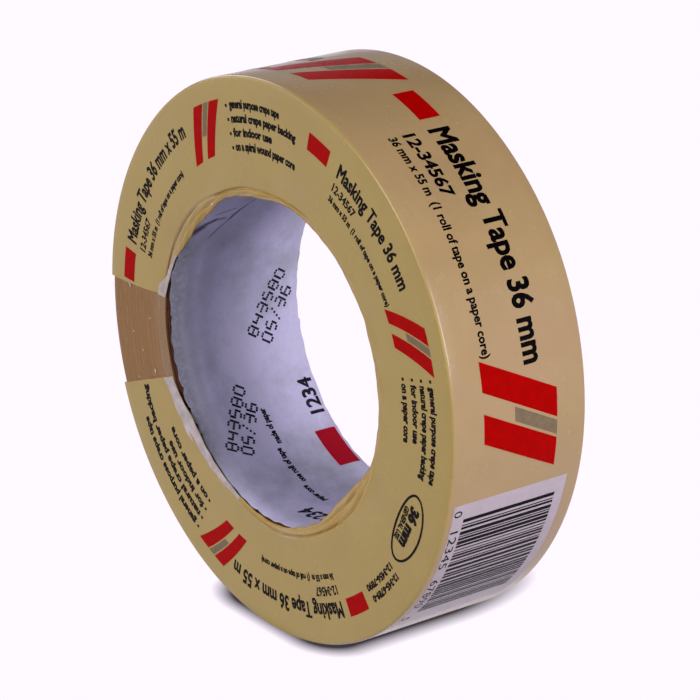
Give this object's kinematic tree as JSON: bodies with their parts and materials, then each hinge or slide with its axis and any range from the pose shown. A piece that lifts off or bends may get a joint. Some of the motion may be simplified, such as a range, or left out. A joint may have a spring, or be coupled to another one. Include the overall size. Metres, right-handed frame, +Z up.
{
  "type": "masking tape roll",
  "caption": "Roll of paper masking tape on a spiral-wound paper core, wrapped in printed shrink film with a clear gap over the seam.",
  "frame": {"origin": "middle of the core's bore", "axes": "+Y along the roll's axis towards its back face, front face toward -Y, +Z up with the roll standing on its tread"},
  "size_m": [0.1296, 0.0364, 0.1296],
  "materials": {
    "liner_paper": "matt white paper with a cool tint",
    "core_board": "raw brown paper board",
    "crepe_tape": "side of wound crepe paper and rubber adhesive",
    "printed_film": "thin printed shrink film, satin gloss"
  },
  "bodies": {
    "root": {"core_liner": "liner_paper", "core_ply_1": "core_board", "core_ply_2": "core_board", "core_ply_3": "core_board", "core_ply_4": "core_board", "core_ply_5": "core_board", "tape_winding": "crepe_tape", "shrink_film": "printed_film"}
  },
  "joints": []
}
